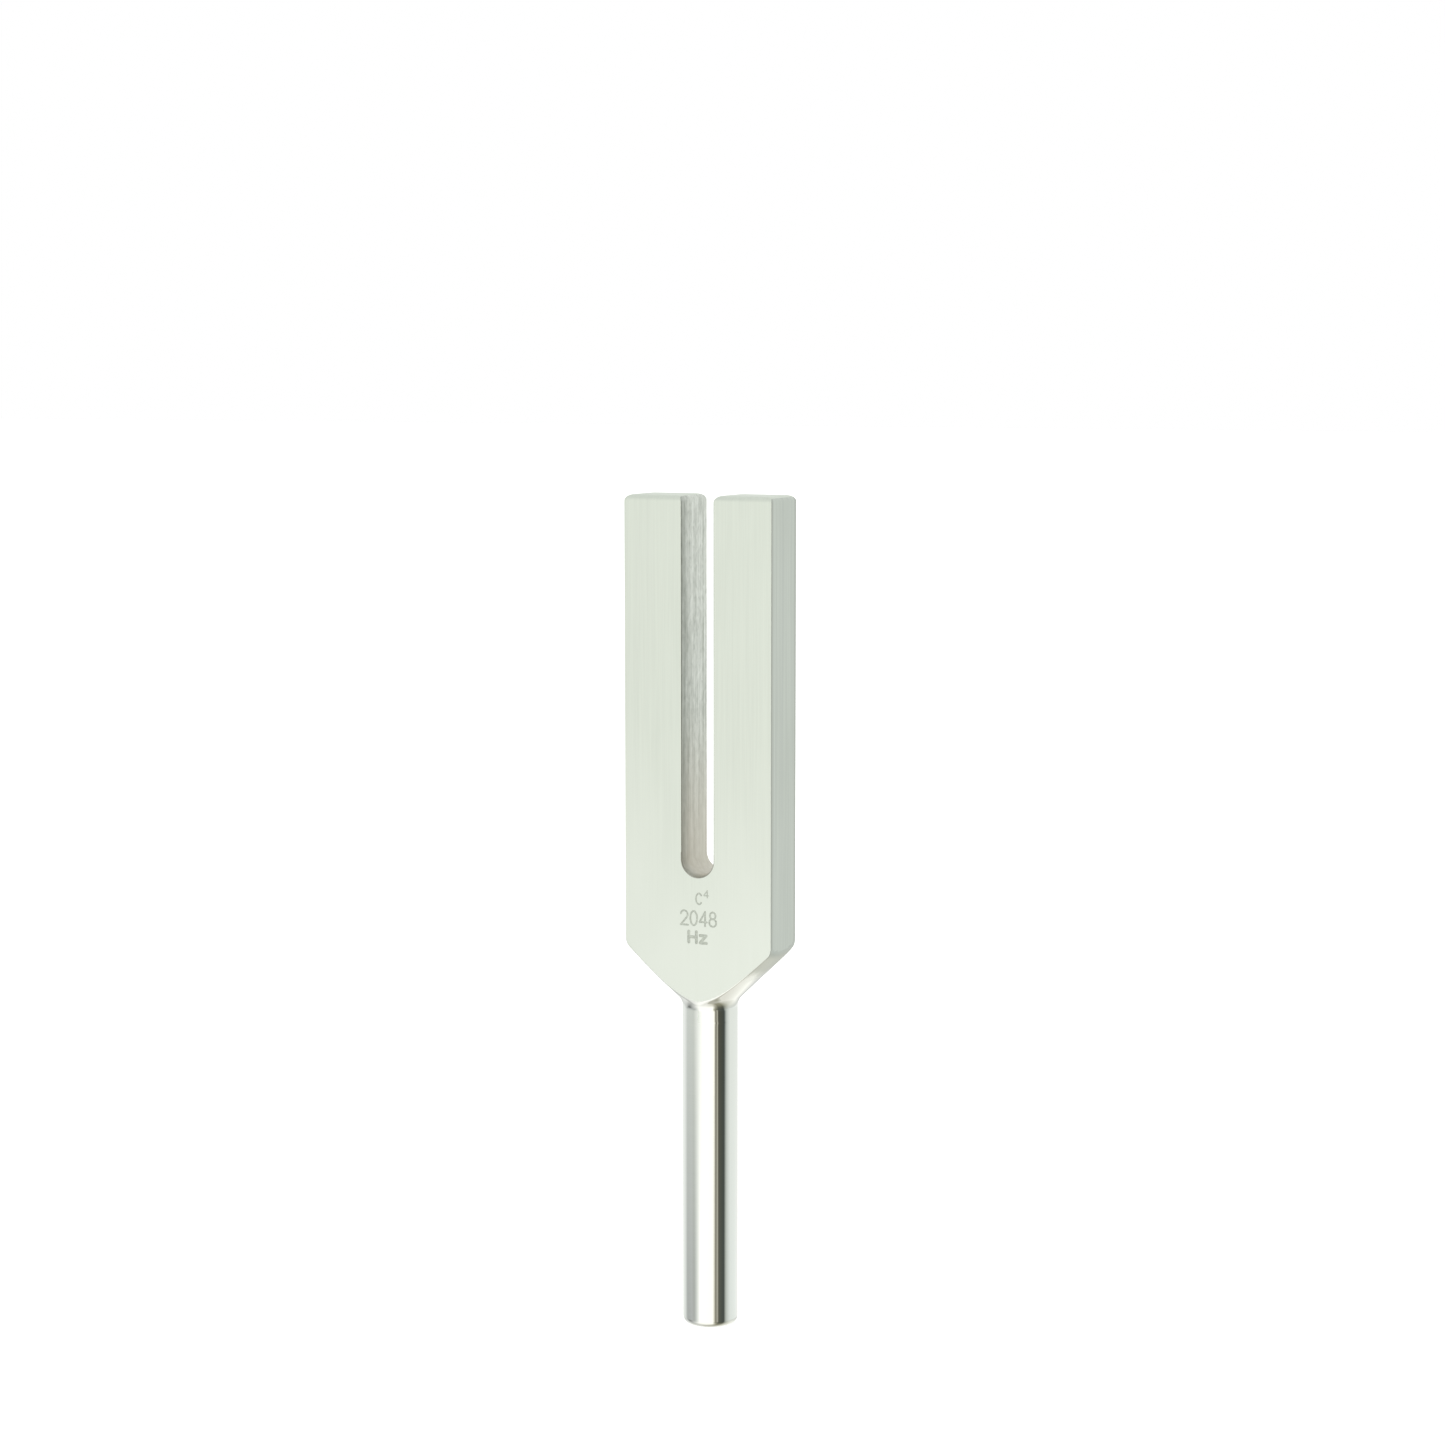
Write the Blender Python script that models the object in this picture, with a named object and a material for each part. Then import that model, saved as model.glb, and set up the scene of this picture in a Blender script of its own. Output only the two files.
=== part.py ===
"""A tuning fork of one aluminium bar, in metres: foot of the stem at the origin, tines pointing up +Z.

The bar is turned to a cone and a round stem at its lower end, and slotted from its upper end.
The four solids are the fork's named parts, cut apart where one ends and the next begins:
stem, yoke, left_tine and right_tine. The tines spring about Y at their roots.
"""

import math

import bmesh
import bpy

# The bar, and the slot that makes two tines of it
BAR_WIDTH = 0.0239
BAR_THICKNESS = 0.0089
SLOT_WIDTH = 0.0052
SLOT_DEPTH = 0.0565  # from the tine tips to the bottom of the slot's round end
BRIDGE_HEIGHT = 0.0192  # solid metal, from the foot of the cone to the bottom of the slot

# The turned end
STEM_DIAMETER = 0.0083
STEM_LENGTH = 0.0497  # from the stem's foot to the foot of the cone
CONE_ANGLE = math.radians(45.5)  # between the cone's side and the stem's axis

# Rounded places
THROAT_RADIUS = 0.0024  # hollow, between the stem and the cone
HIP_RADIUS = 0.0020  # between the cone and the bar's narrow sides
FOOT_RADIUS = 0.0010  # round the end of the stem
TIP_RADIUS = 0.0008  # round the end of each tine
EDGE_RADIUS = 0.00025  # along the long edges

# Between two solids that meet
PART_GAP = 0.0003

# How finely curves are cut up
TURNED_SIDES = 72
ARC_STEPS = 6
SLOT_SIDES = 48
HIP_STEP = 0.0004  # between two sections of the yoke near its hips
SHARP_ANGLE = math.radians(30)

STEM_RADIUS = STEM_DIAMETER / 2
SLOT_BOTTOM = STEM_LENGTH + BRIDGE_HEIGHT
SLOT_CENTRE = SLOT_BOTTOM + SLOT_WIDTH / 2  # level of the round end's centre, where the tines begin
FORK_LENGTH = SLOT_BOTTOM + SLOT_DEPTH
TINE_WIDTH = (BAR_WIDTH - SLOT_WIDTH) / 2
TINE_OFFSET = (SLOT_WIDTH + TINE_WIDTH) / 2  # from the fork's axis to a tine's own axis
THROAT_START = STEM_LENGTH - THROAT_RADIUS * math.tan(CONE_ANGLE / 2)
CORNER_RADIUS = math.hypot(BAR_WIDTH, BAR_THICKNESS) / 2
BLANK_RADIUS = 1.05 * CORNER_RADIUS  # wider than the bar's corners, so that the flats cut all of it

YOKE_BOTTOM = THROAT_START + PART_GAP / 2
YOKE_TOP = SLOT_CENTRE - PART_GAP / 2
STEM_TOP = THROAT_START - PART_GAP / 2
TINE_ROOT = SLOT_CENTRE + PART_GAP / 2


def clear_scene():
    for thing in list(bpy.data.objects):
        bpy.data.objects.remove(thing, do_unlink=True)


def metal(name, colour, roughness):
    material = bpy.data.materials.new(name)
    material.use_nodes = True
    shader = material.node_tree.nodes["Principled BSDF"]
    shader.inputs["Base Color"].default_value = (*colour, 1)
    shader.inputs["Metallic"].default_value = 1.0
    shader.inputs["Roughness"].default_value = roughness
    return material


def add_object(name, shape, location, parent=None, material=None):
    """Turns a bmesh, drawn about the object's own origin, into an object."""
    bmesh.ops.recalc_face_normals(shape, faces=shape.faces)
    mesh = bpy.data.meshes.new(name)
    shape.to_mesh(mesh)
    shape.free()
    made = bpy.data.objects.new(name, mesh)
    bpy.context.scene.collection.objects.link(made)
    made.location = location
    made.parent = parent
    if material:
        mesh.materials.append(material)
        mesh.shade_smooth()
        mesh.set_sharp_from_angle(angle=SHARP_ANGLE)
    return made


def add_cutter(name, shape, location, parent):
    cutter = add_object(name, shape, location, parent)
    cutter.hide_render = True
    cutter.display_type = "WIRE"
    return cutter


def cut(target, tool, operation):
    modifier = target.modifiers.new(tool.name, "BOOLEAN")
    modifier.operation = operation
    modifier.solver = "EXACT"
    modifier.object = tool


def box(size, low_z=0.0):
    """A box about the Z axis that stands on the level low_z."""
    shape = bmesh.new()
    bmesh.ops.create_cube(shape, size=1)
    bmesh.ops.scale(shape, vec=size, verts=shape.verts)
    bmesh.ops.translate(shape, vec=(0, 0, low_z + size[2] / 2), verts=shape.verts)
    return shape


def loft(rings):
    """A closed solid through rings that have the same number of points, with a flat cap at each end."""
    shape = bmesh.new()
    loops = [[shape.verts.new(point) for point in ring] for ring in rings]
    count = len(loops[0])
    for lower, upper in zip(loops, loops[1:]):
        for i in range(count):
            j = (i + 1) % count
            shape.faces.new((lower[i], lower[j], upper[j], upper[i]))
    shape.faces.new(reversed(loops[0]))
    shape.faces.new(loops[-1])
    return shape


def quarter_turn(steps):
    return [math.pi / 2 * i / steps for i in range(steps + 1)]


def spun(profile):
    """A solid of revolution about Z from (radius, level) points that start and end on the axis."""
    shape = bmesh.new()
    verts = [shape.verts.new((radius, 0, level)) for radius, level in profile]
    edges = [shape.edges.new(pair) for pair in zip(verts, verts[1:])]
    bmesh.ops.spin(
        shape,
        geom=verts + edges,
        cent=(0, 0, 0),
        axis=(0, 0, 1),
        angle=2 * math.pi,
        steps=TURNED_SIDES,
    )
    bmesh.ops.remove_doubles(shape, verts=shape.verts, dist=1e-6)
    return shape


def stem_shape():
    """The round handle, from its rounded foot to where the throat starts."""
    flat = STEM_RADIUS - FOOT_RADIUS
    profile = [(0, 0)]
    for turn in quarter_turn(ARC_STEPS):
        radius = flat + FOOT_RADIUS * math.sin(turn)
        profile.append((radius, FOOT_RADIUS * (1 - math.cos(turn))))
    profile += [(STEM_RADIUS, STEM_TOP), (0, STEM_TOP)]
    return spun(profile)


def turned_radius(level):
    """Radius of the lathe-turned surface at a level above the foot: stem, throat, then cone."""
    reach = THROAT_RADIUS * math.tan(CONE_ANGLE / 2)
    throat_end = STEM_LENGTH + reach * math.cos(CONE_ANGLE)
    if level <= THROAT_START:
        return STEM_RADIUS
    if level < throat_end:
        rise = level - THROAT_START
        return STEM_RADIUS + THROAT_RADIUS - math.sqrt(THROAT_RADIUS**2 - rise**2)
    return STEM_RADIUS + (level - STEM_LENGTH) * math.tan(CONE_ANGLE)


def side_distance(angle):
    """How far from the axis the bar's narrow side lies, in a direction seen from above."""
    across = abs(math.cos(angle))
    if across * BLANK_RADIUS <= BAR_WIDTH / 2:
        return BLANK_RADIUS
    return BAR_WIDTH / 2 / across


def blank_radius(angle, level):
    """The cone, rounded over into the bar's upright side by an arc of HIP_RADIUS."""
    limit = side_distance(angle)
    corner = STEM_LENGTH + (limit - STEM_RADIUS) / math.tan(CONE_ANGLE)
    reach = HIP_RADIUS * math.tan(CONE_ANGLE / 2)
    if level <= corner - reach * math.cos(CONE_ANGLE):
        return turned_radius(level)
    if level >= corner + reach:
        return limit
    drop = corner + reach - level
    return limit - HIP_RADIUS + math.sqrt(HIP_RADIUS**2 - drop**2)


def yoke_levels():
    """Section levels of the yoke's blank: close together in the throat and at the hips."""
    reach = THROAT_RADIUS * math.tan(CONE_ANGLE / 2)
    throat_end = STEM_LENGTH + reach * math.cos(CONE_ANGLE)
    hips_start = STEM_LENGTH + (BAR_WIDTH / 2 - STEM_RADIUS - HIP_RADIUS) / math.tan(CONE_ANGLE)
    hips_end = STEM_LENGTH + (BLANK_RADIUS - STEM_RADIUS + HIP_RADIUS) / math.tan(CONE_ANGLE)
    hip_count = round((hips_end - hips_start) / HIP_STEP)
    levels = [YOKE_BOTTOM]
    levels += [THROAT_START + (throat_end - THROAT_START) * i / ARC_STEPS for i in range(1, ARC_STEPS + 1)]
    levels += [hips_start + (hips_end - hips_start) * i / hip_count for i in range(hip_count + 1)]
    return sorted(level for level in levels if level < YOKE_TOP - HIP_STEP) + [YOKE_TOP]


def yoke_blank_shape():
    """The turned cone with the bar's narrow sides on it, before its two broad faces are milled."""
    angles = [2 * math.pi * i / TURNED_SIDES for i in range(TURNED_SIDES)]
    rings = []
    for level in yoke_levels():
        radii = [blank_radius(angle, level) for angle in angles]
        rings.append(
            [(r * math.cos(a), r * math.sin(a), level - STEM_LENGTH) for r, a in zip(radii, angles)]
        )
    return loft(rings)


def slot_end_shape():
    """A round bar along Y that cuts the slot's round bottom."""
    shape = bmesh.new()
    bmesh.ops.create_cone(
        shape,
        cap_ends=True,
        segments=SLOT_SIDES,
        radius1=SLOT_WIDTH / 2,
        radius2=SLOT_WIDTH / 2,
        depth=2 * BAR_THICKNESS,
    )
    for vert in shape.verts:
        vert.co.y, vert.co.z = -vert.co.z, vert.co.y
    return shape


def rounded_rectangle(width, thickness, radius, level):
    """Points round a rectangle about the Z axis whose corners are arcs."""
    ring = []
    for corner, (sx, sy) in enumerate(((1, 1), (-1, 1), (-1, -1), (1, -1))):
        for turn in quarter_turn(ARC_STEPS // 2):
            angle = turn + corner * math.pi / 2
            x = sx * (width / 2 - radius) + radius * math.cos(angle)
            y = sy * (thickness / 2 - radius) + radius * math.sin(angle)
            ring.append((x, y, level))
    return ring


def tine_shape():
    """A straight bar on its root face, with rounded long edges and a rounded tip."""
    height = FORK_LENGTH - TINE_ROOT
    rings = [rounded_rectangle(TINE_WIDTH, BAR_THICKNESS, EDGE_RADIUS, 0)]
    for turn in quarter_turn(ARC_STEPS):
        inset = TIP_RADIUS * (1 - math.cos(turn))
        level = height - TIP_RADIUS * (1 - math.sin(turn))
        rings.append(
            rounded_rectangle(TINE_WIDTH - 2 * inset, BAR_THICKNESS - 2 * inset, EDGE_RADIUS, level)
        )
    return loft(rings)


def build_stem(fork, material):
    add_object("stem", stem_shape(), (0, 0, 0), fork, material)


def build_yoke(fork, material):
    yoke = add_object("yoke", yoke_blank_shape(), (0, 0, STEM_LENGTH), fork, material)
    slab_size = (3 * BAR_WIDTH, BAR_THICKNESS, 2 * FORK_LENGTH)
    flats = add_cutter("broad_faces", box(slab_size, -FORK_LENGTH), (0, 0, 0), fork)
    slot_end = add_cutter("slot_end", slot_end_shape(), (0, 0, SLOT_CENTRE), fork)
    cut(yoke, flats, "INTERSECT")
    cut(yoke, slot_end, "DIFFERENCE")


def build_tine(name, side, fork, material):
    """A tine on an empty at its root, which is the axis that it springs about."""
    root = bpy.data.objects.new(name + "_root", None)
    bpy.context.scene.collection.objects.link(root)
    root.location = (side * TINE_OFFSET, 0, TINE_ROOT)
    root.parent = fork
    add_object(name, tine_shape(), (0, 0, 0), root, material)


def build_fork():
    fork = bpy.data.objects.new("fork", None)
    bpy.context.scene.collection.objects.link(fork)
    satin = metal("satin_aluminium", (0.80, 0.83, 0.78), 0.38)
    polished = metal("polished_aluminium", (0.90, 0.91, 0.89), 0.12)
    build_stem(fork, polished)
    build_yoke(fork, satin)
    build_tine("left_tine", -1, fork, satin)
    build_tine("right_tine", 1, fork, satin)


clear_scene()
build_fork()
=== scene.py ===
import math

import bmesh
import bpy
from mathutils import Matrix, Vector


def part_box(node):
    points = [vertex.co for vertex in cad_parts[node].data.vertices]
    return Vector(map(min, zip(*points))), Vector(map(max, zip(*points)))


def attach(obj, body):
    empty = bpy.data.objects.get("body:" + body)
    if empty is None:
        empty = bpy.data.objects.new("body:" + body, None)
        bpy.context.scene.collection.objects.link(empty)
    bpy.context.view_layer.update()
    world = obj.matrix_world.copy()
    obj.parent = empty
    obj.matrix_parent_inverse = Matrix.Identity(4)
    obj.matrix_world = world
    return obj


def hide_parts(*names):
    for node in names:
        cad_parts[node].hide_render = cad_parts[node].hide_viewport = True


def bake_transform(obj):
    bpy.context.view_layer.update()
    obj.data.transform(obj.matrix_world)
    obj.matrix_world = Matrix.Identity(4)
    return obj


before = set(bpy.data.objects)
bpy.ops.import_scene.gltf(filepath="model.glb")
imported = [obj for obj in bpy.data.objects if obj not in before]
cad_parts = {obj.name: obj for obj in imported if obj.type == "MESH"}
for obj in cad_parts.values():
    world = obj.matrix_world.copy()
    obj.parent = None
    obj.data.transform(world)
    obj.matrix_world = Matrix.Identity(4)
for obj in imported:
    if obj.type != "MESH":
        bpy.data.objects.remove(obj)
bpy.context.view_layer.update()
print("frame loaded:", ", ".join(sorted(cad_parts)))

mm = 0.001
quarter = math.pi / 2
nearZero = 1e-6

# Sizes that the frame gives
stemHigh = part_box("stem")[1]
yokeLow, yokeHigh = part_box("yoke")
leftLow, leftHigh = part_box("left_tine")
rightLow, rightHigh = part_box("right_tine")
stemRadius = stemHigh.x
halfWidth = yokeHigh.x
halfThick = yokeHigh.y
halfSlot = (rightLow.x - leftHigh.x) / 2
slotCentre = (leftLow.z + yokeHigh.z) / 2  # level of the centre of the slot's round bottom
throatStart = (stemHigh.z + yokeLow.z) / 2
tipLevel = leftHigh.z

# The turned and rounded places of the bar
bar = {
    "coneAngle": math.radians(45.5),  # between the cone's side and the stem
    "throatRadius": 2.4 * mm,  # hollow where the stem runs out into the cone
    "hipRadius": 2.0 * mm,  # where the cone meets the bar's narrow sides
    "footRadius": 1.0 * mm,  # round the stem's end
    "footSteps": 10,
    "edgeRadius": 0.08 * mm,  # broken edges all along the bar
    "tipEdgeRadius": 0.17 * mm,  # the same edge at the lowest point of a broad face
    "tipEdgeStart": 0.8 * mm,  # above the cone's foot; here the wider edge starts to narrow
    "tipEdgeReach": 2.6 * mm,
    "edgeSteps": 6,
    "slotEdgeRadius": 0.14 * mm,  # broken edges of the slot
    "slotSteps": 48,
    "flatSteps": 20,  # points across half a broad face
    "sideSteps": 32,  # points from a broken edge to the middle of a narrow side
    "flatFan": (30, 5),  # degrees of a ring kept for half a broad face: on the stem, then beside the face
    "edgeFan": (12, 0.3),  # the same for a broken edge
    "fanStart": 3 * mm,  # below a broad face's lowest point; there the first of each two gives way
    "fanReach": 2.7 * mm,
    "evenSides": 6 * mm,  # above that lowest point; higher rings have even points along the narrow sides
    "stemRings": (15 * mm, 30 * mm),  # levels
    "throatRings": (6 * mm, 3 * mm),  # below the throat
    "ringGap": (0.03 * mm, 0.3 * mm),  # closest and widest
    "ringGrowth": 0.12,  # of the gap, with the distance from that lowest point
    "joinLevel": slotCentre - 8 * mm,  # below it the bar is a stack of rings, above it a slotted block
    "seamLevel": slotCentre + 1 * mm,  # where the tines' own meshes take over
}
coneFoot = throatStart + bar["throatRadius"] * math.tan(bar["coneAngle"] / 2)


# Camera

cameraPlace = {
    "azimuth": math.radians(25.08),
    "height": math.radians(6.66),  # how far it looks down
    "distance": 0.4579,
    "target": Vector((0, 0, 0.091555)),
    "sideStep": 0.001835,  # of the target, to the right
    "lens": 76.74,
    "sensor": 36.0,
    "clip": (0.01, 50),
}


def placeCamera():
    a, h = cameraPlace["azimuth"], cameraPlace["height"]
    back = Vector((math.sin(a) * math.cos(h), -math.cos(a) * math.cos(h), math.sin(h)))
    right = Vector((math.cos(a), math.sin(a), 0))
    lens = bpy.data.cameras.new("camera")
    lens.lens = cameraPlace["lens"]
    lens.sensor_width = cameraPlace["sensor"]
    lens.sensor_fit = "HORIZONTAL"
    lens.clip_start, lens.clip_end = cameraPlace["clip"]
    camera = bpy.data.objects.new("camera", lens)
    bpy.context.scene.collection.objects.link(camera)
    target = cameraPlace["target"] + right * cameraPlace["sideStep"]
    camera.location = target + back * cameraPlace["distance"]
    camera.rotation_mode = "QUATERNION"
    camera.rotation_quaternion = back.to_track_quat("Z", "Y")
    bpy.context.scene.camera = camera


placeCamera()
print("camera placed")


# Small helpers for node trees

def newMaterial(name):
    material = bpy.data.materials.new(name)
    material.use_nodes = True
    nodes = material.node_tree.nodes
    return material, nodes, material.node_tree.links, nodes["Principled BSDF"]


def addNode(nodes, kind, **settings):
    node = nodes.new(kind)
    for name, value in settings.items():
        setattr(node, name, value)
    return node


def stretchedNoise(nodes, links, source, scale, detail=2.0, roughness=0.5, distortion=0.0):
    # Noise in the bar's own coordinates, with its own scale along each axis (per metre)
    mapping = addNode(nodes, "ShaderNodeMapping")
    mapping.inputs["Scale"].default_value = scale
    noise = addNode(nodes, "ShaderNodeTexNoise")
    noise.inputs["Scale"].default_value = 1.0
    noise.inputs["Detail"].default_value = detail
    noise.inputs["Roughness"].default_value = roughness
    noise.inputs["Distortion"].default_value = distortion
    links.new(source, mapping.inputs["Vector"])
    links.new(mapping.outputs["Vector"], noise.inputs["Vector"])
    return noise.outputs["Fac"]


def spread(nodes, links, source, low, high, toLow, toHigh, kind="LINEAR"):
    node = addNode(nodes, "ShaderNodeMapRange", interpolation_type=kind)
    node.inputs["From Min"].default_value = low
    node.inputs["From Max"].default_value = high
    node.inputs["To Min"].default_value = toLow
    node.inputs["To Max"].default_value = toHigh
    links.new(source, node.inputs["Value"])
    return node.outputs["Result"]


def combine(nodes, links, operation, first, second):
    node = addNode(nodes, "ShaderNodeMath", operation=operation)
    for socket, value in zip(node.inputs, (first, second)):
        if isinstance(value, (int, float)):
            socket.default_value = value
        else:
            links.new(value, socket)
    return node.outputs["Value"]


def tint(nodes, links, factor, first, second):
    node = addNode(nodes, "ShaderNodeMix", data_type="RGBA")
    links.new(factor, node.inputs["Factor"])
    for socket, value in ((node.inputs[6], first), (node.inputs[7], second)):
        if isinstance(value, tuple):
            socket.default_value = (*value, 1)
        else:
            links.new(value, socket)
    return node.outputs[2]


def relief(nodes, links, height, distance):
    node = addNode(nodes, "ShaderNodeBump")
    node.inputs["Strength"].default_value = 1.0
    node.inputs["Distance"].default_value = distance
    links.new(height, node.inputs["Height"])
    return node.outputs["Normal"]


def barCoordinates(nodes, links):
    place = addNode(nodes, "ShaderNodeTexCoord").outputs["Object"]
    axes = addNode(nodes, "ShaderNodeSeparateXYZ")
    links.new(place, axes.inputs["Vector"])
    return place, axes.outputs


# Finishes

brushing = {  # the same on every satin face
    "grainRange": (0.72, 1.28),  # dark to light, of the fine and the broad grain added up
    "cloudRange": (0.3, 0.7),
    "roughRange": (0.7, 1.3),
    "footEnds": slotCentre + 24 * mm,
}

satinFaces = {
    "light": (0.828, 0.868, 0.803),
    "dark": (0.772, 0.810, 0.748),
    "foot": (0.885, 0.92, 0.865),  # the metal looks paler towards the shoulder
    "footShare": 0.95,
    "roughness": (0.36, 0.48),
    "grain": (3600, 3600, 60),  # brush lines per metre: fine across, long up and down
    "broadGrain": (1500, 1500, 30),
    "clouds": (90, 90, 40),
    "cloudShare": 0.32,
    "depth": 0.002 * mm,
}

# Painted shade: the narrow sides are the same metal as the broad faces, given darker colours that stand
# in for the light they miss
shadedSatinSides = {
    "light": (0.735, 0.77, 0.725),
    "dark": (0.60, 0.63, 0.60),
    "foot": (0.66, 0.69, 0.655),
    "edge": (0.40, 0.41, 0.385),  # painted shade: darker next to the front and back edges
    "edgeReach": 0.9 * mm,
    "edgeShadeShare": 0.7,
    "footShare": 0.4,
    "roughness": (0.36, 0.50),
    "grain": (2600, 2600, 24),
    "broadGrain": (760, 760, 9),
    "clouds": (120, 120, 30),
    "cloudShare": 0.16,
    "depth": 0.006 * mm,
}


def satinMetal(name, look):
    material, nodes, links, shader = newMaterial(name)
    place, axes = barCoordinates(nodes, links)
    grain = stretchedNoise(nodes, links, place, look["grain"], 3.0, 0.6)
    broad = stretchedNoise(nodes, links, place, look["broadGrain"], 2.0, 0.55)
    clouds = stretchedNoise(nodes, links, place, look["clouds"], 2.0, 0.5)
    lines = combine(nodes, links, "ADD", grain, broad)
    brushed = spread(nodes, links, lines, *brushing["grainRange"], 0.0, 1.0)
    colour = tint(nodes, links, brushed, look["dark"], look["light"])
    footEnds = brushing["footEnds"]
    low = spread(nodes, links, axes["Z"], coneFoot, footEnds, look["footShare"], 0.0, "SMOOTHSTEP")
    cloudShare = look["cloudShare"]
    cloudy = spread(nodes, links, clouds, *brushing["cloudRange"], -cloudShare, cloudShare)
    colour = tint(nodes, links, combine(nodes, links, "ADD", low, cloudy), colour, look["foot"])
    # painted shade, darker towards the front and back edges
    if "edge" in look:
        fromMiddle = combine(nodes, links, "ABSOLUTE", axes["Y"], 0)
        edgeStart = halfThick - look["edgeReach"]
        paintedEdgeShade = spread(nodes, links, fromMiddle, edgeStart, halfThick, 0.0, look["edgeShadeShare"])
        colour = tint(nodes, links, paintedEdgeShade, colour, look["edge"])
    links.new(colour, shader.inputs["Base Color"])
    uneven = combine(nodes, links, "ADD", broad, clouds)
    rough = spread(nodes, links, uneven, *brushing["roughRange"], *look["roughness"])
    links.new(rough, shader.inputs["Roughness"])
    links.new(relief(nodes, links, lines, look["depth"]), shader.inputs["Normal"])
    shader.inputs["Metallic"].default_value = 1.0
    return material


milled = {
    "light": (0.97, 0.985, 0.95),
    "dark": (0.59, 0.61, 0.57),
    "warm": (0.72, 0.678, 0.605),  # warmer, darker colour low in the slot
    "warmEnds": (slotCentre - 2 * mm, slotCentre + 26 * mm),
    "warmShare": 0.85,
    "edge": (0.34, 0.36, 0.33),  # painted shade: darker along the slot's front edge
    "edgeReach": 2.8 * mm,
    "edgeShadeShare": 0.62,
    "roughness": (0.50, 0.30),
    "roughRange": (0.6, 1.2),
    "lines": (2100, 2100, 60),
    "tears": (1150, 1150, 640),
    "tornShare": (0.52, 0.66),  # of the tears, from the foot of the slot to the tips
    "shadeRange": (0.60, 1.08),
    "depth": 0.02 * mm,
}


def milledMetal(name, look):
    material, nodes, links, shader = newMaterial(name)
    place, axes = barCoordinates(nodes, links)
    lines = stretchedNoise(nodes, links, place, look["lines"], 4.0, 0.62, 0.3)
    tears = stretchedNoise(nodes, links, place, look["tears"], 3.0, 0.6, 0.6)
    tornShare = spread(nodes, links, axes["Z"], slotCentre, tipLevel, *look["tornShare"])
    torn = combine(nodes, links, "MULTIPLY", tears, tornShare)
    marks = combine(nodes, links, "ADD", lines, torn)
    shade = spread(nodes, links, marks, *look["shadeRange"], 0.0, 1.0)
    colour = tint(nodes, links, shade, look["dark"], look["light"])
    low = spread(nodes, links, axes["Z"], *look["warmEnds"], look["warmShare"], 0.0, "SMOOTHSTEP")
    colour = tint(nodes, links, low, colour, look["warm"])
    # painted shade, darker towards the slot's front edge
    edgeEnd = look["edgeReach"] - halfThick
    paintedEdgeShade = spread(nodes, links, axes["Y"], -halfThick, edgeEnd, look["edgeShadeShare"], 0.0)
    colour = tint(nodes, links, paintedEdgeShade, colour, look["edge"])
    links.new(colour, shader.inputs["Base Color"])
    rough = spread(nodes, links, marks, *look["roughRange"], *look["roughness"])
    links.new(rough, shader.inputs["Roughness"])
    links.new(relief(nodes, links, marks, look["depth"]), shader.inputs["Normal"])
    shader.inputs["Metallic"].default_value = 1.0
    return material


turned = {
    "polished": (0.90, 0.91, 0.885),
    "satin": (0.67, 0.69, 0.645),
    "side": (0.61, 0.64, 0.605),  # painted shade matching the narrow sides, where they begin
    "sideStarts": (coneFoot + 7.4 * mm, coneFoot + 8.6 * mm),
    "polishRoughness": (0.02, 0.05),
    "satinRoughness": 0.42,
    "polishEnds": coneFoot + 3.2 * mm,  # the polish fades out on the cone
    "satinStarts": coneFoot + 5.9 * mm,
    "wander": 0.9 * mm,  # of the place where the polish fades, up and down
    "toolLines": (60, 60, 5200),  # rings left by turning
    "ripple": (25, 25, 330),
    "rippleShare": 6.0,
    "smudges": (160, 160, 90),
    "smudgeRange": (0.3, 0.7),
    "polishRange": (0.3, 0.75),
    "depth": 0.0012 * mm,
}


def turnedMetal(name, look):
    material, nodes, links, shader = newMaterial(name)
    place, axes = barCoordinates(nodes, links)
    rings = stretchedNoise(nodes, links, place, look["toolLines"], 2.0, 0.5)
    ripple = stretchedNoise(nodes, links, place, look["ripple"], 2.0, 0.5)
    smudges = stretchedNoise(nodes, links, place, look["smudges"], 3.0, 0.6)
    wander = spread(nodes, links, smudges, *look["smudgeRange"], -look["wander"], look["wander"])
    level = combine(nodes, links, "ADD", axes["Z"], wander)
    fade = spread(nodes, links, level, look["polishEnds"], look["satinStarts"], 0.0, 1.0, "SMOOTHSTEP")
    colour = tint(nodes, links, fade, look["polished"], look["satin"])
    # painted shade of the narrow sides, carried onto the turned surface above the cone
    atSide = spread(nodes, links, axes["Z"], *look["sideStarts"], 0.0, 1.0, "SMOOTHSTEP")
    colour = tint(nodes, links, atSide, colour, look["side"])
    links.new(colour, shader.inputs["Base Color"])
    polish = spread(nodes, links, smudges, *look["polishRange"], *look["polishRoughness"])
    rest = combine(nodes, links, "SUBTRACT", look["satinRoughness"], polish)
    rough = combine(nodes, links, "ADD", polish, combine(nodes, links, "MULTIPLY", fade, rest))
    links.new(rough, shader.inputs["Roughness"])
    waves = combine(nodes, links, "MULTIPLY", ripple, look["rippleShare"])
    height = combine(nodes, links, "ADD", rings, waves)
    links.new(relief(nodes, links, height, look["depth"]), shader.inputs["Normal"])
    shader.inputs["Metallic"].default_value = 1.0
    return material


engraved = {
    "light": (0.66, 0.695, 0.635),
    "dark": (0.48, 0.505, 0.46),
    "grain": (6000, 6000, 6000),
    "grainRange": (0.35, 0.65),
    "roughness": 0.55,
    "metallic": 0.8,
    "depth": 0.01 * mm,
}


def engravedMetal(name, look):
    material, nodes, links, shader = newMaterial(name)
    place = barCoordinates(nodes, links)[0]
    grain = stretchedNoise(nodes, links, place, look["grain"], 2.0, 0.6)
    shade = spread(nodes, links, grain, *look["grainRange"], 0.0, 1.0)
    colour = tint(nodes, links, shade, look["dark"], look["light"])
    links.new(colour, shader.inputs["Base Color"])
    links.new(relief(nodes, links, grain, look["depth"]), shader.inputs["Normal"])
    shader.inputs["Roughness"].default_value = look["roughness"]
    shader.inputs["Metallic"].default_value = look["metallic"]
    return material


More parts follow.
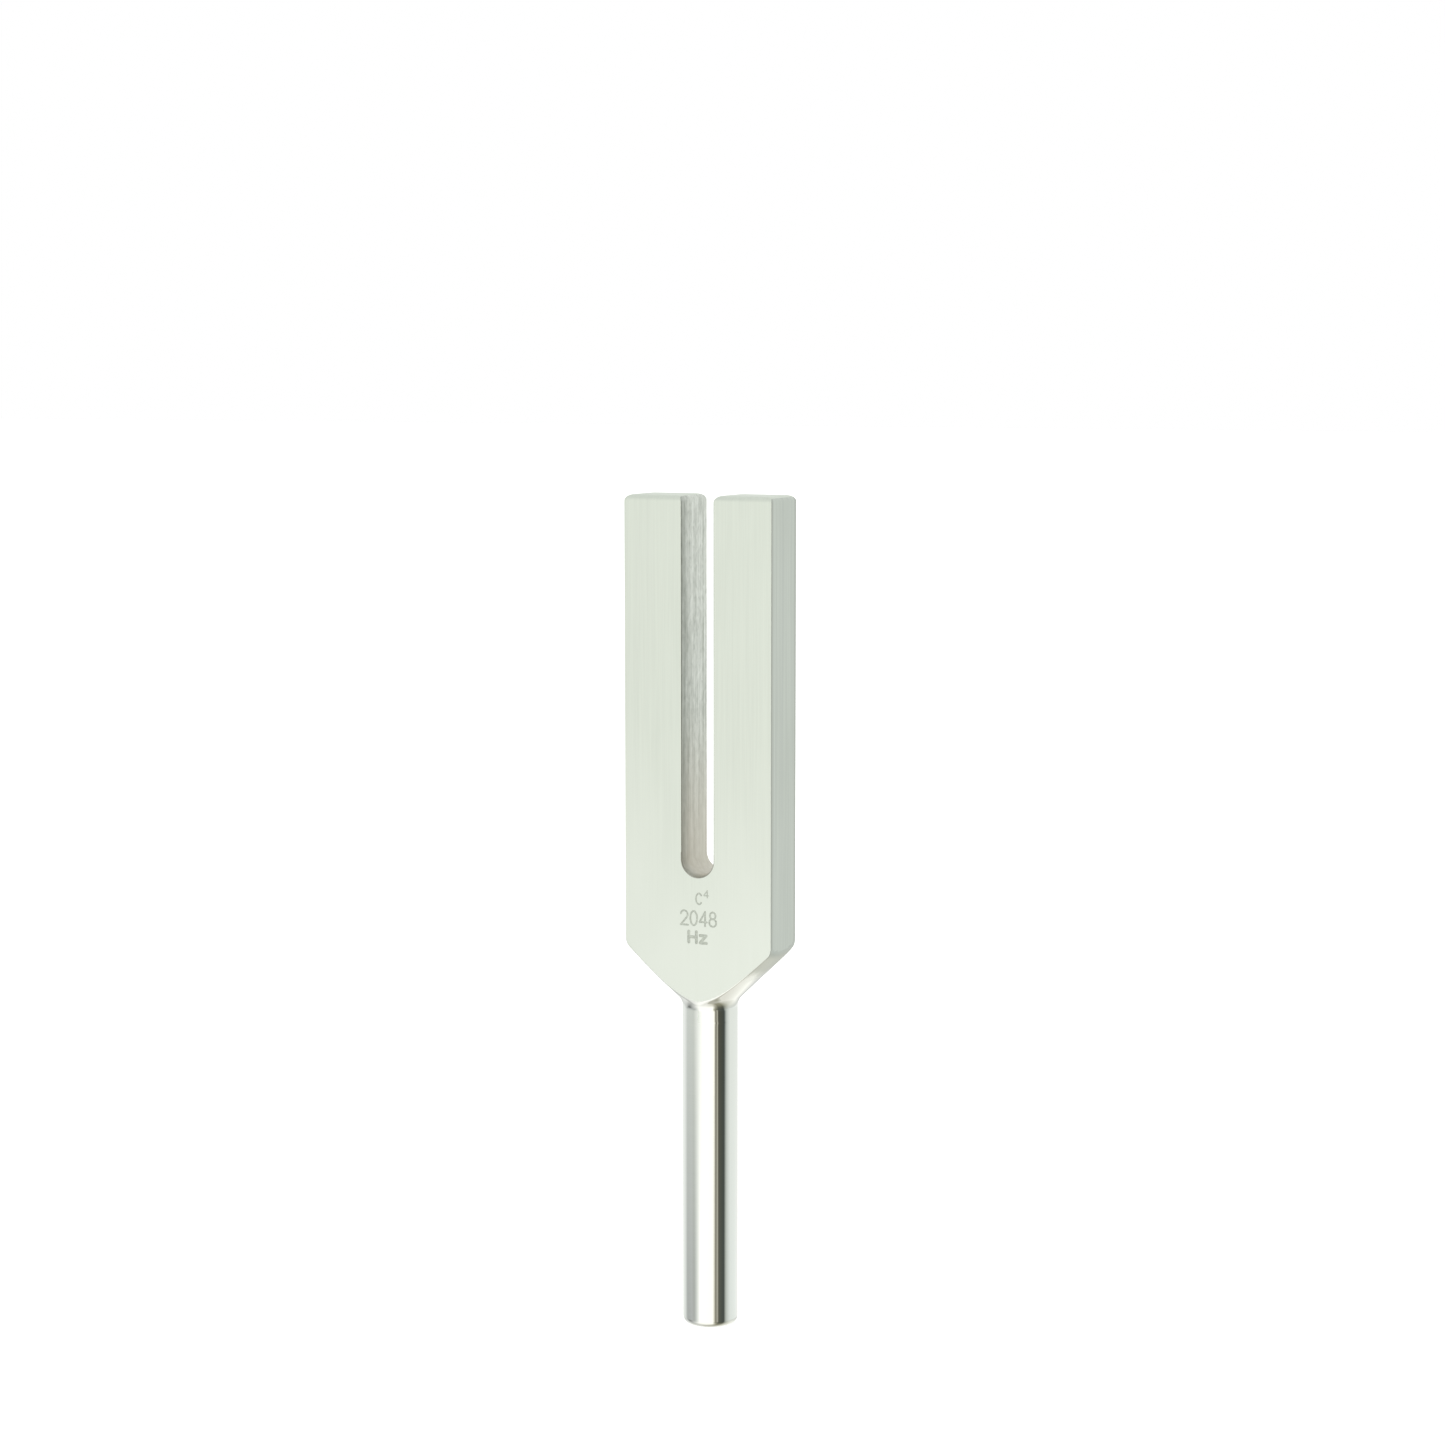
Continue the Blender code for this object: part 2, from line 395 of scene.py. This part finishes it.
satinFinish = satinMetal("satinAluminium", satinFaces)
# the narrow sides' finish: the same metal with painted shade
shadedSideFinish = satinMetal("shadedSatinNarrowSides", shadedSatinSides)
slotFinish = milledMetal("milledSlot", milled)
turnedFinish = turnedMetal("polishedStem", turned)
markFinish = engravedMetal("engravedMark", engraved)
bodyFinishes = (satinFinish, turnedFinish, slotFinish, markFinish, shadedSideFinish)
tineFinishes = (satinFinish, slotFinish, shadedSideFinish)
print("finishes made")


# Which way a face looks, as the part of its normal along an axis
flatFacing = 0.9999
joinFacing = 0.99999
sideFacing = 0.7
slotFacing = 0.5
uprightLean = 0.02
sharpAngle = math.radians(40)


# Shape of the bar's lower end

def turnedRadius(level):
    # Stem, throat, then cone
    reach = bar["throatRadius"] * math.tan(bar["coneAngle"] / 2)
    throatEnd = coneFoot + reach * math.cos(bar["coneAngle"])
    if level <= throatStart:
        return stemRadius
    if level < throatEnd:
        rise = level - throatStart
        return stemRadius + bar["throatRadius"] - math.sqrt(bar["throatRadius"] ** 2 - rise**2)
    return stemRadius + (level - coneFoot) * math.tan(bar["coneAngle"])


def blankRadius(angle, level):
    # The turned surface, rolled over into the bar's upright narrow side
    farthest = math.hypot(halfWidth, halfThick) * 1.05  # just past the bar's corners
    across = abs(math.cos(angle))
    limit = farthest if across * farthest <= halfWidth else halfWidth / across
    corner = coneFoot + (limit - stemRadius) / math.tan(bar["coneAngle"])
    reach = bar["hipRadius"] * math.tan(bar["coneAngle"] / 2)
    if level <= corner - reach * math.cos(bar["coneAngle"]):
        return turnedRadius(level)
    if level >= corner + reach:
        return limit
    drop = corner + reach - level
    return limit - bar["hipRadius"] + math.sqrt(bar["hipRadius"] ** 2 - drop**2)


def lean(angle, level):
    # Cosine of how far the blank's surface leans out at this level
    step = 0.01 * mm
    slope = (blankRadius(angle, level + step) - blankRadius(angle, level - step)) / (2 * step)
    return 1 / math.hypot(1, slope)


def edgeRadius(level):
    # The broken edge gets wider round the lowest point of a broad face
    share = min(1.0, max(0.0, (level - coneFoot - bar["tipEdgeStart"]) / bar["tipEdgeReach"]))
    change = bar["edgeRadius"] - bar["tipEdgeRadius"]
    return bar["tipEdgeRadius"] + change * share * share * (3 - 2 * share)


def barRadius(angle, level):
    # From the axis to the surface, with the edge between broad face and blank rounded off
    edge = edgeRadius(level)
    across = abs(math.sin(angle))
    blank = blankRadius(angle, level)
    c = lean(angle, level)
    plain = min(blank, halfThick / across) if across > nearZero else blank
    a = across**2 + c**2
    b = 2 * (across * (edge - halfThick) + c * (edge - c * blank))
    d = (edge - halfThick) ** 2 + (edge - c * blank) ** 2 - edge**2
    inside = b * b - 4 * a * d
    if inside <= 0:
        return plain
    r = (-b + math.sqrt(inside)) / (2 * a)
    if r * across - halfThick > -edge and c * (r - blank) > -edge:
        return min(r, plain)
    return plain


def halve(test, low, high):
    # The value between low and high where test turns true
    for _ in range(40):
        middle = (low + high) / 2
        if test(middle):
            high = middle
        else:
            low = middle
    return (low + high) / 2


def flatReach(level):
    # Half the width of the broad face at this level, up to where its edge starts to roll over
    def pastFlat(x):
        angle = math.atan2(halfThick, x)
        edgeReach = edgeRadius(level) / lean(angle, level)
        return math.hypot(x, halfThick) > blankRadius(angle, level) - edgeReach
    return 0.0 if pastFlat(0.0) else halve(pastFlat, 0.0, halfWidth)


def sideStart(level):
    # Angle where the rolled edge ends and the turned surface or narrow side starts
    def pastSide(angle):
        return blankRadius(angle, level) * math.sin(angle) > halfThick - edgeRadius(level)
    return halve(pastSide, 0.0, quarter) if pastSide(quarter) else quarter


# Lowest point of a broad face
faceTip = halve(lambda level: turnedRadius(level) > halfThick, throatStart, coneFoot + 2 * mm)


def fanShare(fan, near):
    first, last = fan
    return math.radians(first + (last - first) * near)


def quarterAngles(level):
    # Directions from the middle of the front face (a quarter turn) to that of the narrow side (zero)
    near = min(1.0, max(0.0, (level - faceTip + bar["fanStart"]) / bar["fanReach"]))
    flatEnd = min(math.atan2(halfThick, flatReach(level)), quarter - fanShare(bar["flatFan"], near))
    sideEnd = min(sideStart(level), flatEnd - fanShare(bar["edgeFan"], near))
    even = level > faceTip + bar["evenSides"]
    angles = []
    for i in range(bar["flatSteps"]):
        angles.append(math.atan2(1, i / bar["flatSteps"] / math.tan(flatEnd)))
    for i in range(bar["edgeSteps"]):
        angles.append(flatEnd + (sideEnd - flatEnd) * i / bar["edgeSteps"])
    for i in range(bar["sideSteps"] + 1):
        share = 1 - i / bar["sideSteps"]
        angles.append(math.atan2(math.tan(sideEnd) * share, 1) if even else sideEnd * share)
    return angles


def barRing(level):
    # One section, starting at the middle of the front face and going round by way of +X
    corner = []
    for angle in quarterAngles(level):
        r = barRadius(angle, level)
        corner.append((r * math.cos(angle), -r * math.sin(angle)))
    right = corner + [(x, -y) for x, y in reversed(corner[:-1])]
    left = [(-x, y) for x, y in reversed(right[1:-1])]
    return [Vector((x, y, level)) for x, y in right + left]


def footRings():
    # The stem's rounded end: its own section, made smaller
    section = barRing(bar["stemRings"][0])
    rings = []
    for i in range(bar["footSteps"]):
        turn = quarter * i / bar["footSteps"]
        inset = bar["footRadius"] * (1 - math.sin(turn))
        level = bar["footRadius"] * (1 - math.cos(turn))
        size = 1 - inset / stemRadius
        rings.append([Vector((p.x * size, p.y * size, level)) for p in section])
    return rings


def ringLevels():
    # Close together where a broad face begins, wider apart away from it
    farBelow, below = bar["throatRings"]
    closest, widest = bar["ringGap"]
    levels = [bar["footRadius"], *bar["stemRings"], throatStart - farBelow]
    level = throatStart - below
    while level < bar["joinLevel"] - 1 * mm:
        levels.append(level)
        level += min(widest, max(closest, bar["ringGrowth"] * abs(level - faceTip)))
    return levels + [bar["joinLevel"]]


def stackRings(shape, rings):
    loops = [[shape.verts.new(p) for p in ring] for ring in rings]
    count = len(loops[0])
    for lower, upper in zip(loops, loops[1:]):
        for i in range(count):
            j = (i + 1) % count
            shape.faces.new((lower[i], lower[j], upper[j], upper[i]))
    return loops


def slotOutline(offset):
    # The slot's U, from the seam down the left wall, round, and up the right wall
    r = halfSlot + offset
    points = [(-r, bar["seamLevel"])]
    for i in range(bar["slotSteps"] + 1):
        turn = math.pi * i / bar["slotSteps"]
        points.append((-r * math.cos(turn), slotCentre - r * math.sin(turn)))
    return points + [(r, bar["seamLevel"])]


def slotRows():
    # (offset into the metal, level in y) from the front face, through the slot, to the back face
    edge = bar["slotEdgeRadius"]
    front = []
    for i in range(bar["edgeSteps"] + 1):
        turn = quarter * i / bar["edgeSteps"]
        front.append((edge * (1 - math.sin(turn)), -halfThick + edge * (1 - math.cos(turn))))
    return front + [(offset, -y) for offset, y in reversed(front)]


def buildBody():
    shape = bmesh.new()
    loops = stackRings(shape, footRings() + [barRing(level) for level in ringLevels()])
    shape.faces.new(list(reversed(loops[0])))
    count = len(loops[0])
    half = count // 2
    flat = bar["flatSteps"]
    # narrow sides and their broken edges, straight up to the seam
    top = loops[-1]
    upper = {}
    for i in list(range(flat, half - flat + 1)) + list(range(half + flat, count - flat + 1)):
        vert = top[i % count]
        upper[i] = shape.verts.new((vert.co.x, vert.co.y, bar["seamLevel"]))
    for i in upper:
        if i + 1 in upper:
            shape.faces.new((top[i], top[(i + 1) % count], upper[i + 1], upper[i]))
    # the slot's wall with its broken edges
    slotLoops = []
    for offset, y in slotRows():
        slotLoops.append([shape.verts.new((x, y, z)) for x, z in slotOutline(offset)])
    slotFaces = []
    for near, far in zip(slotLoops, slotLoops[1:]):
        for i in range(len(near) - 1):
            slotFaces.append(shape.faces.new((near[i], far[i], far[i + 1], near[i + 1])))
    # broad faces above the rings
    frontBottom = [top[i % count] for i in range(-flat, flat + 1)]
    backBottom = [top[i] for i in range(half - flat, half + flat + 1)]
    shape.faces.new(frontBottom + [upper[flat]] + list(reversed(slotLoops[0])) + [upper[count - flat]])
    shape.faces.new(backBottom + [upper[half + flat]] + slotLoops[-1] + [upper[half - flat]])
    # cut ends of the two legs
    rightLeg = [upper[i] for i in range(flat, half - flat + 1)]
    leftLeg = [upper[i] for i in range(half + flat, count - flat + 1)]
    shape.faces.new(rightLeg + [loop[-1] for loop in reversed(slotLoops)])
    shape.faces.new(leftLeg + [loop[0] for loop in slotLoops])
    bmesh.ops.recalc_face_normals(shape, faces=shape.faces)
    for face in slotFaces:
        face.material_index = bodyFinishes.index(slotFinish)
    for face in set(shape.faces) - set(slotFaces):
        if abs(face.normal.y) > flatFacing:
            continue
        aboveCone = face.calc_center_median().z > turned["sideStarts"][1]
        if abs(face.normal.z) > uprightLean or not aboveCone:
            face.material_index = bodyFinishes.index(turnedFinish)
        elif abs(face.normal.x) > sideFacing:
            face.material_index = bodyFinishes.index(shadedSideFinish)
    joinFlats(shape)
    return finishPiece("forkBody", shape, bodyFinishes)


def joinFlats(shape):
    # Each broad face becomes one flat polygon
    for side in (-1, 1):
        def flat(faces):
            return len(faces) > 0 and all(face.normal.y * side > joinFacing for face in faces)
        inside = [edge for edge in shape.edges if len(edge.link_faces) == 2 and flat(edge.link_faces)]
        bmesh.ops.dissolve_edges(shape, edges=inside, use_verts=False)
        loose = [vert for vert in shape.verts if len(vert.link_edges) == 2 and flat(vert.link_faces)]
        bmesh.ops.dissolve_verts(shape, verts=loose)


def finishPiece(name, shape, finishes):
    for face in shape.faces:
        face.smooth = True
    mesh = bpy.data.meshes.new(name)
    shape.to_mesh(mesh)
    shape.free()
    mesh.set_sharp_from_angle(angle=sharpAngle)
    for finish in finishes:
        mesh.materials.append(finish)
    piece = bpy.data.objects.new(name, mesh)
    bpy.context.scene.collection.objects.link(piece)
    return piece


def evenNormals(piece):
    # Large flat faces keep flat shading right up to their broken edges
    weighted = piece.modifiers.new("evenNormals", "WEIGHTED_NORMAL")
    weighted.keep_sharp = True


# Tines

tine = {
    "tipRadius": 0.95 * mm,
    "tipSteps": 14,
    "rows": 48,  # sections along a tine
    "cornerGrowth": 0.7,  # how fast the long edges open out at the rounded tip
}


def tineRing(low, high, inset, growth, level):
    # A rectangle with rounded corners, seen from above; the corners at the slot match the slot's edges
    ring = []
    for corner, (sx, sy) in enumerate(((1, 1), (-1, 1), (-1, -1), (1, -1))):
        atSlot = (sx > 0) == (high.x < 0)
        radius = bar["slotEdgeRadius" if atSlot else "edgeRadius"] + growth
        cx = (high.x - inset - radius) if sx > 0 else (low.x + inset + radius)
        cy = sy * (halfThick - inset - radius)
        for i in range(bar["edgeSteps"] + 1):
            turn = quarter * (corner + i / bar["edgeSteps"])
            ring.append(Vector((cx + radius * math.cos(turn), cy + radius * math.sin(turn), level)))
    return ring


def buildTine(name, low, high, innerSide):
    shape = bmesh.new()
    rings = []
    straightEnd = tipLevel - tine["tipRadius"]
    for i in range(tine["rows"]):
        level = bar["seamLevel"] + (straightEnd - bar["seamLevel"]) * i / tine["rows"]
        rings.append(tineRing(low, high, 0, 0, level))
    for i in range(tine["tipSteps"] + 1):
        turn = quarter * i / tine["tipSteps"]
        inset = tine["tipRadius"] * (1 - math.cos(turn))
        growth = inset * tine["cornerGrowth"]
        level = straightEnd + tine["tipRadius"] * math.sin(turn)
        rings.append(tineRing(low, high, inset, growth, level))
    loops = stackRings(shape, rings)
    shape.faces.new(list(reversed(loops[0])))
    shape.faces.new(loops[-1])
    bmesh.ops.recalc_face_normals(shape, faces=shape.faces)
    for face in shape.faces:
        inward = face.normal.x * innerSide
        if inward > slotFacing:
            face.material_index = tineFinishes.index(slotFinish)
        elif inward < -sideFacing:
            face.material_index = tineFinishes.index(shadedSideFinish)
    return finishPiece(name, shape, tineFinishes)


# Pitch marks

marks = {
    "depth": 0.04 * mm,
    "depthStep": 0.0005 * mm,  # each cut is this much deeper than the last; no two floors in one plane
    "outside": 0.2 * mm,  # how far a cutter stands out in front of the face
    "capSteps": 8,  # round each end of a cut
    "levels": (57 * mm, 68 * mm),
    "reach": 4 * mm,  # to each side of the middle
    "skin": 0.001 * mm,  # least depth that counts as inside a cut
    "lines": (
        # characters, height, width of one, gap, left end, foot level, width of the cut
        ("C", 1.62 * mm, 0.98 * mm, 0, -0.22 * mm, 64.90 * mm, 0.26 * mm),
        ("4", 1.05 * mm, 0.74 * mm, 0, 1.06 * mm, 65.98 * mm, 0.19 * mm),
        ("2048", 2.14 * mm, 1.20 * mm, 0.36 * mm, -2.76 * mm, 61.68 * mm, 0.29 * mm),
        ("Hz", 1.62 * mm, 1.25 * mm, 0.62 * mm, -1.42 * mm, 59.10 * mm, 0.46 * mm),
    ),
}


def arc(x, y, wide, high, start, end, steps=20):
    # Points on an oval, in degrees anticlockwise from the right
    points = []
    for i in range(steps + 1):
        turn = math.radians(start + (end - start) * i / steps)
        points.append((x + wide * math.cos(turn), y + high * math.sin(turn)))
    return points


# Centre lines of each character's cuts, in a box one wide and one high
characters = {
    "C": [arc(0.5, 0.5, 0.5, 0.5, 42, 318, 36)],
    "2": [
        arc(0.5, 0.72, 0.46, 0.28, 170, -28, 24) + [(0.62, 0.38), (0.30, 0.18), (0.06, 0.0)],
        [(0.02, 0.0), (1.0, 0.0)],
    ],
    "0": [arc(0.5, 0.5, 0.46, 0.5, 0, 360, 40)],
    "4": [[(0.76, 0.0), (0.76, 1.0)], [(0.76, 1.0), (0.0, 0.27)], [(0.0, 0.27), (1.0, 0.27)]],
    "8": [arc(0.5, 0.76, 0.38, 0.24, 0, 360, 32), arc(0.5, 0.27, 0.46, 0.27, 0, 360, 32)],
    "H": [[(0.0, 0.0), (0.0, 1.0)], [(1.0, 0.0), (1.0, 1.0)], [(0.0, 0.5), (1.0, 0.5)]],
    "z": [[(0.0, 0.68), (0.78, 0.68)], [(0.78, 0.68), (0.0, 0.0)], [(0.0, 0.0), (0.82, 0.0)]],
}


def roundCap(middle, rim):
    # Half a circle from the rim, clockwise, without its two ends
    steps = marks["capSteps"]
    return [middle + Matrix.Rotation(-math.pi * i / steps, 2) @ (rim - middle) for i in range(1, steps)]


def cutStroke(shape, points, width, depth):
    # A ribbon along the centre line, round at its ends, as a solid that reaches into the front face
    closed = (Vector(points[0]) - Vector(points[-1])).length < 1e-9
    centre = [Vector(p) for p in (points[:-1] if closed else points)]
    count = len(centre)
    left, right = [], []
    for i, point in enumerate(centre):
        before = centre[i - 1] if closed or i else point
        after = centre[(i + 1) % count] if closed or i < count - 1 else point
        along = (after - before).normalized()
        across = Vector((-along.y, along.x)) * width / 2
        left.append(point + across)
        right.append(point - across)
    if closed:
        outlines = [left, right]
    else:
        endCap = roundCap(centre[-1], left[-1])
        startCap = roundCap(centre[0], right[0])
        outlines = [left + endCap + list(reversed(right)) + startCap]
    top, bottom = -halfThick - marks["outside"], -halfThick + depth
    rims = []
    for outline in outlines:
        rims.append([[shape.verts.new((p.x, y, p.y)) for p in outline] for y in (top, bottom)])
    for upperRim, lowerRim in rims:
        for i in range(len(upperRim)):
            j = (i + 1) % len(upperRim)
            shape.faces.new((upperRim[i], upperRim[j], lowerRim[j], lowerRim[i]))
    for layer in (0, 1):
        if closed:
            outer, inner = rims[0][layer], rims[1][layer]
            for i in range(count):
                j = (i + 1) % count
                shape.faces.new((outer[i], outer[j], inner[j], inner[i]))
        else:
            shape.faces.new(rims[0][layer])


def cutAway(piece, shape):
    # Takes a closed shape out of the piece
    mesh = bpy.data.meshes.new("cutter")
    shape.to_mesh(mesh)
    shape.free()
    cutter = bpy.data.objects.new("cutter", mesh)
    bpy.context.scene.collection.objects.link(cutter)
    cut = piece.modifiers.new("engrave", "BOOLEAN")
    cut.operation = "DIFFERENCE"
    cut.solver = "EXACT"
    cut.object = cutter
    bpy.context.view_layer.update()
    graph = bpy.context.evaluated_depsgraph_get()
    finished = bpy.data.meshes.new_from_object(piece.evaluated_get(graph))
    piece.modifiers.remove(cut)
    piece.data = finished
    bpy.data.objects.remove(cutter)


def engrave(piece):
    cuts = 0
    for text, high, wide, gap, start, foot, width in marks["lines"]:
        for place, character in enumerate(text):
            left = start + place * (wide + gap)
            for stroke in characters[character]:
                depth = marks["depth"] + marks["depthStep"] * cuts
                shape = bmesh.new()
                cutStroke(shape, [(left + x * wide, foot + y * high) for x, y in stroke], width, depth)
                bmesh.ops.recalc_face_normals(shape, faces=shape.faces)
                cutAway(piece, shape)
                cuts += 1
    lowest, highest = marks["levels"]
    for face in piece.data.polygons:
        inward = face.center.y + halfThick
        inLines = lowest < face.center.z < highest and abs(face.center.x) < marks["reach"]
        if marks["skin"] < inward < 1.5 * marks["depth"] and inLines:
            face.material_index = bodyFinishes.index(markFinish)


body = buildBody()
engrave(body)
evenNormals(body)
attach(body, "root")
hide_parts("stem", "yoke")
print("fork body made:", len(body.data.polygons), "faces")

for name, low, high, innerSide, node in (
    ("leftTine", leftLow, leftHigh, 1, "left_tine"),
    ("rightTine", rightLow, rightHigh, -1, "right_tine"),
):
    prong = buildTine(name, low, high, innerSide)
    evenNormals(prong)
    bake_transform(prong)
    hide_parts(node)
print("tines made")


# Studio

studio = {
    "floorSize": 6.0,
    "floorColour": (0.93, 0.94, 0.93),
    "floorRoughness": 0.9,
    "floorShine": 0.1,
    "floorGlow": 0.62,
    "backdrop": 1.0,
    "strength": 1.0,
    # Rings of cards round the fork, from the level downwards. Each ring is at a height, given as the
    # upward part of its direction, and its cards are at degrees from the front face's normal towards +X.
    "rings": (
        (-0.205, (
            (-180, (0.84, 0.86, 0.83)),
            (-115, (0.90, 0.92, 0.90)),
            (-97, (0.78, 0.80, 0.78)),
            (-86, (0.64, 0.67, 0.64)),
            (-50, (0.64, 0.67, 0.63)),
            (-36, (0.80, 0.82, 0.78)),
            (-20, (1.00, 1.02, 0.97)),
            (-3, (1.25, 1.25, 1.19)),
            (40, (1.19, 1.18, 1.09)),
            (44, (0.76, 0.74, 0.64)),
            (48, (0.13, 0.12, 0.09)),
            (50, (0.13, 0.12, 0.09)),
            (54, (0.62, 0.61, 0.50)),
            (58, (0.13, 0.125, 0.10)),
            (62, (0.080, 0.082, 0.062)),
            (85, (0.060, 0.068, 0.060)),
            (89, (0.16, 0.18, 0.17)),
            (95, (0.48, 0.51, 0.48)),
            (104, (0.68, 0.71, 0.68)),
            (116, (0.82, 0.85, 0.81)),
            (150, (0.84, 0.87, 0.83)),
            (180, (0.84, 0.86, 0.83)),
        )),
        (-0.295, (
            (-180, (0.97, 0.97, 0.95)),
            (-118, (0.88, 0.91, 0.88)),
            (-100, (0.70, 0.73, 0.71)),
            (-89, (0.45, 0.47, 0.46)),
            (-62, (0.49, 0.51, 0.50)),
            (-47, (0.43, 0.45, 0.43)),
            (-38, (0.60, 0.63, 0.60)),
            (-28, (0.90, 0.92, 0.88)),
            (-20, (1.22, 1.22, 1.18)),
            (36, (1.19, 1.18, 1.09)),
            (43, (0.55, 0.53, 0.43)),
            (48, (0.16, 0.15, 0.12)),
            (52, (0.43, 0.42, 0.35)),
            (56, (0.43, 0.42, 0.35)),
            (59, (0.12, 0.12, 0.09)),
            (66, (0.095, 0.102, 0.086)),
            (84, (0.065, 0.075, 0.068)),
            (88, (0.24, 0.26, 0.24)),
            (94, (0.50, 0.53, 0.49)),
            (104, (0.66, 0.70, 0.67)),
            (116, (0.80, 0.84, 0.81)),
            (150, (0.88, 0.92, 0.89)),
            (180, (0.97, 0.97, 0.95)),
        )),
        (-0.40, (
            (-180, (0.66, 0.67, 0.65)),
            (-160, (0.60, 0.61, 0.59)),
            (-120, (0.74, 0.76, 0.74)),
            (-98, (0.64, 0.65, 0.63)),
            (-89, (0.46, 0.47, 0.46)),
            (-81, (0.15, 0.16, 0.15)),
            (-71, (0.17, 0.18, 0.17)),
            (-58, (0.44, 0.45, 0.44)),
            (-40, (0.62, 0.63, 0.61)),
            (-22, (1.15, 1.15, 1.10)),
            (34, (1.22, 1.21, 1.14)),
            (42, (0.40, 0.39, 0.30)),
            (50, (0.20, 0.20, 0.14)),
            (60, (0.09, 0.095, 0.08)),
            (84, (0.06, 0.07, 0.06)),
            (94, (0.42, 0.44, 0.40)),
            (112, (0.68, 0.70, 0.66)),
            (164, (0.70, 0.72, 0.68)),
            (180, (0.66, 0.67, 0.65)),
        )),
        (-0.64, (
            (-180, (1.10, 1.10, 1.03)),
            (-130, (0.90, 0.91, 0.88)),
            (-106, (0.74, 0.75, 0.73)),
            (-93, (0.52, 0.53, 0.51)),
            (-76, (0.42, 0.43, 0.42)),
            (-58, (0.62, 0.63, 0.61)),
            (-30, (1.15, 1.15, 1.10)),
            (36, (1.20, 1.19, 1.12)),
            (48, (0.40, 0.39, 0.30)),
            (62, (0.13, 0.13, 0.10)),
            (86, (0.11, 0.115, 0.09)),
            (102, (0.46, 0.47, 0.40)),
            (124, (0.76, 0.77, 0.70)),
            (160, (0.97, 0.98, 0.91)),
            (180, (1.10, 1.10, 1.03)),
        )),
        (-0.90, (
            (-180, (0.87, 0.86, 0.79)),
            (-120, (0.76, 0.76, 0.71)),
            (-60, (0.66, 0.66, 0.62)),
            (0, (0.90, 0.89, 0.83)),
            (36, (0.72, 0.70, 0.60)),
            (62, (0.30, 0.29, 0.21)),
            (90, (0.30, 0.29, 0.21)),
            (124, (0.62, 0.615, 0.54)),
            (180, (0.87, 0.86, 0.79)),
        )),
    ),
    "above": (0.78, 0.80, 0.77),
    "aboveReach": (0.35, 0.85),
    "below": (0.50, 0.49, 0.42),
    "belowReach": (-0.985, -0.93),
}


def cards(nodes, links, share, table):
    ramp = addNode(nodes, "ShaderNodeValToRGB")
    links.new(share, ramp.inputs["Fac"])
    stops = ramp.color_ramp.elements  # the first and the last are there already
    for degrees, colour in table[1:-1]:
        stops.new((degrees + 180) / 360)
    for stop, (degrees, colour) in zip(stops, table):
        stop.position = (degrees + 180) / 360
        stop.color = (*colour, 1)
    return ramp.outputs["Color"]


def buildWorld():
    world = bpy.data.worlds.new("studio")
    bpy.context.scene.world = world
    world.use_nodes = True
    nodes, links = world.node_tree.nodes, world.node_tree.links
    background = nodes["Background"]
    direction = addNode(nodes, "ShaderNodeTexCoord").outputs["Generated"]
    axes = addNode(nodes, "ShaderNodeSeparateXYZ")
    links.new(direction, axes.inputs["Vector"])
    toFront = combine(nodes, links, "MULTIPLY", axes.outputs["Y"], -1)
    turn = combine(nodes, links, "ARCTAN2", axes.outputs["X"], toFront)
    share = spread(nodes, links, turn, -math.pi, math.pi, 0.0, 1.0)
    height = axes.outputs["Z"]
    previous, table = studio["rings"][0]
    colour = cards(nodes, links, share, table)
    for place, table in studio["rings"][1:]:
        lower = spread(nodes, links, height, place, previous, 1.0, 0.0)
        colour = tint(nodes, links, lower, colour, cards(nodes, links, share, table))
        previous = place
    below = spread(nodes, links, height, *studio["belowReach"], 1.0, 0.0, "SMOOTHSTEP")
    above = spread(nodes, links, height, *studio["aboveReach"], 0.0, 1.0, "SMOOTHSTEP")
    colour = tint(nodes, links, below, colour, studio["below"])
    colour = tint(nodes, links, above, colour, studio["above"])
    seen = addNode(nodes, "ShaderNodeLightPath").outputs["Is Camera Ray"]
    colour = tint(nodes, links, seen, colour, (studio["backdrop"],) * 3)
    links.new(colour, background.inputs["Color"])
    background.inputs["Strength"].default_value = studio["strength"]


def buildFloor():
    shape = bmesh.new()
    bmesh.ops.create_grid(shape, x_segments=1, y_segments=1, size=studio["floorSize"])
    mesh = bpy.data.meshes.new("floor")
    shape.to_mesh(mesh)
    shape.free()
    floor = bpy.data.objects.new("floor", mesh)
    bpy.context.scene.collection.objects.link(floor)
    material = bpy.data.materials.new("paleFloor")
    material.use_nodes = True
    shader = material.node_tree.nodes["Principled BSDF"]
    shader.inputs["Base Color"].default_value = (*studio["floorColour"], 1)
    shader.inputs["Roughness"].default_value = studio["floorRoughness"]
    shader.inputs["Specular IOR Level"].default_value = studio["floorShine"]
    shader.inputs["Emission Color"].default_value = (1, 1, 1, 1)
    shader.inputs["Emission Strength"].default_value = studio["floorGlow"]
    mesh.materials.append(material)
    floor.visible_glossy = False


buildWorld()
buildFloor()
bpy.context.scene.view_settings.view_transform = "Standard"
print("studio made")
